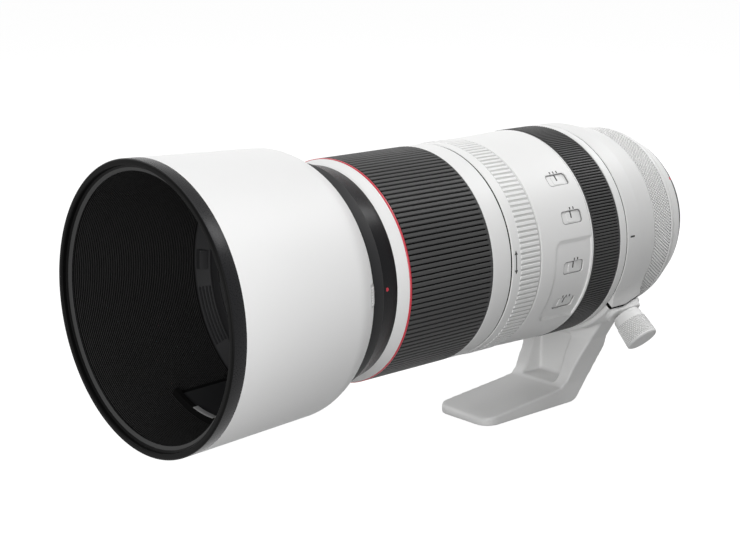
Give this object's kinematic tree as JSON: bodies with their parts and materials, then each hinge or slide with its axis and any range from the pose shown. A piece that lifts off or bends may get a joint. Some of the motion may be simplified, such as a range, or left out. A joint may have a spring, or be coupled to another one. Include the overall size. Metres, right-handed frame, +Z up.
{
  "type": "telephoto zoom lens",
  "caption": "White telephoto zoom lens with a flared hood, ribbed zoom and focus rings, slide switches, a bayonet mount and a tripod collar with foot and locking knob.",
  "frame": {"origin": "centre of the rear mount face, on the optical axis", "axes": "+Y along the optical axis from the front to the mount, +Z up with the tripod foot below, +X on the side of the switches"},
  "size_m": [0.1098, 0.2763, 0.1335],
  "materials": {
    "white_paint": "smooth off-white paint on moulded alloy and plastic",
    "painted_alloy": "off-white paint on cast alloy",
    "black_rubber": "matt black rubber",
    "black_plastic": "black moulded plastic",
    "alloy": "anodised tube",
    "brass": "turned",
    "steel": "machined",
    "red_paint": "red enamel",
    "board": "green circuit board",
    "glass": "coated optical glass"
  },
  "bodies": {
    "barrel": {"main_barrel": "white_paint", "switch_panel": "white_paint", "guide_barrel": "alloy", "steady_frame": "black_plastic", "iris_housing": "black_plastic", "iris_blades": "alloy", "focus_rods": "steel", "focus_motor": "black_plastic", "circuit_board": "board", "rear_cell": "black_plastic", "rear_glass": "glass", "rear_barrel": "white_paint", "tail_ring": "white_paint", "mount_plate": "steel", "mount_screws": "steel", "contact_block": "black_plastic", "contact_pins": "brass", "mount_index": "red_paint"},
    "front_barrel": {"front_ring": "black_plastic", "hood_index": "red_paint", "name_ring": "white_paint", "red_ring": "red_paint", "inner_tube": "alloy", "front_cell": "black_plastic", "front_glass": "glass", "second_glass": "glass", "front_retainer": "black_plastic", "tube_pins": "brass"},
    "hood": {"hood_shell": "white_paint", "hood_rim": "black_rubber", "hood_liner": "black_plastic", "hood_bayonet": "black_plastic", "window_frame": "black_plastic"},
    "hood_button": {"hood_button": "white_paint"},
    "hood_window": {"window_door": "black_plastic"},
    "zoom_ring": {"zoom_ring": "white_paint", "zoom_grip": "black_rubber", "zoom_key": "brass", "cam_barrel": "alloy"},
    "tension_ring": {"tension_ring": "white_paint"},
    "zoom_group": {"zoom_cell": "black_plastic", "zoom_glass": "glass", "zoom_pins": "brass"},
    "focus_ring": {"focus_ring": "black_plastic", "focus_grip": "black_rubber"},
    "focus_group": {"focus_cell": "black_plastic", "focus_glass": "glass"},
    "steady_yoke": {"steady_yoke": "black_plastic"},
    "steady_lens": {"steady_cell": "black_plastic", "steady_glass": "glass"},
    "range_switch": {"switch_range": "white_paint"},
    "focus_switch": {"switch_focus": "white_paint"},
    "steady_switch": {"switch_steady": "white_paint"},
    "mode_switch": {"switch_mode": "white_paint"},
    "collar": {"collar_ring": "painted_alloy", "tripod_foot": "painted_alloy"},
    "clamp_knob": {"clamp_knob": "painted_alloy", "brake_shoe": "steel"},
    "control_ring": {"control_ring": "white_paint"}
  },
  "joints": [
    {"name": "zoom_extend", "type": "slide", "parent": "barrel", "child": "front_barrel", "axis": [0, -1, 0], "range_m": [0, 0.084]},
    {"name": "zoom_ring_turn", "type": "hinge", "parent": "barrel", "child": "zoom_ring", "pos_m": [0, -0.15, 0], "axis": [0, 1, 0], "range_deg": [0, 90.05]},
    {"name": "zoom_group_slide", "type": "slide", "parent": "barrel", "child": "zoom_group", "axis": [0, -1, 0], "range_m": [0, 0.0421]},
    {"name": "hood_turn", "type": "hinge", "parent": "front_barrel", "child": "hood", "pos_m": [0, -0.2031, 0], "axis": [0, -1, 0], "range_deg": [0, 40]},
    {"name": "hood_button_press", "type": "slide", "parent": "hood", "child": "hood_button", "axis": [-0.9978, 0, -0.0663], "range_m": [0, 0.0012], "stiffness_N_per_m": 900, "springref_m": -0.0008},
    {"name": "window_turn", "type": "hinge", "parent": "hood", "child": "hood_window", "pos_m": [0, -0.228, 0], "axis": [0, -1, 0], "range_deg": [0, 52]},
    {"name": "tension_turn", "type": "hinge", "parent": "barrel", "child": "tension_ring", "pos_m": [0, -0.1145, 0], "axis": [0, 1, 0], "range_deg": [0, 60]},
    {"name": "focus_turn", "type": "hinge", "parent": "barrel", "child": "focus_ring", "pos_m": [0, -0.0663, 0], "axis": [0, 1, 0], "continuous": true},
    {"name": "control_turn", "type": "hinge", "parent": "barrel", "child": "control_ring", "pos_m": [0, -0.0227, 0], "axis": [0, 1, 0], "continuous": true},
    {"name": "collar_turn", "type": "hinge", "parent": "barrel", "child": "collar", "pos_m": [0, -0.0409, 0], "axis": [0, 1, 0], "continuous": true},
    {"name": "knob_turn", "type": "hinge", "parent": "collar", "child": "clamp_knob", "pos_m": [0.04157, -0.0409, -0.03973], "axis": [0.723, 0, -0.6909], "range_deg": [0, 180]},
    {"name": "range_switch_slide", "type": "slide", "parent": "barrel", "child": "range_switch", "axis": [0, 1, 0], "range_m": [-0.002, 0.002]},
    {"name": "focus_switch_slide", "type": "slide", "parent": "barrel", "child": "focus_switch", "axis": [0, 1, 0], "range_m": [-0.002, 0.002]},
    {"name": "steady_switch_slide", "type": "slide", "parent": "barrel", "child": "steady_switch", "axis": [0, 1, 0], "range_m": [-0.002, 0.002]},
    {"name": "mode_switch_slide", "type": "slide", "parent": "barrel", "child": "mode_switch", "axis": [0, 1, 0], "range_m": [-0.002, 0.002]},
    {"name": "focus_slide", "type": "slide", "parent": "barrel", "child": "focus_group", "axis": [0, 1, 0], "range_m": [-0.006, 0.006]},
    {"name": "steady_shift_z", "type": "slide", "parent": "barrel", "child": "steady_yoke", "axis": [0, 0, 1], "range_m": [-0.0009, 0.0009]},
    {"name": "steady_shift_x", "type": "slide", "parent": "steady_yoke", "child": "steady_lens", "axis": [1, 0, 0], "range_m": [-0.0009, 0.0009]}
  ],
  "couplings": [
    {"joint": "zoom_ring_turn", "follows": "zoom_extend", "rad_per_m": 18.7},
    {"joint": "zoom_group_slide", "follows": "zoom_extend", "ratio": 0.5}
  ]
}
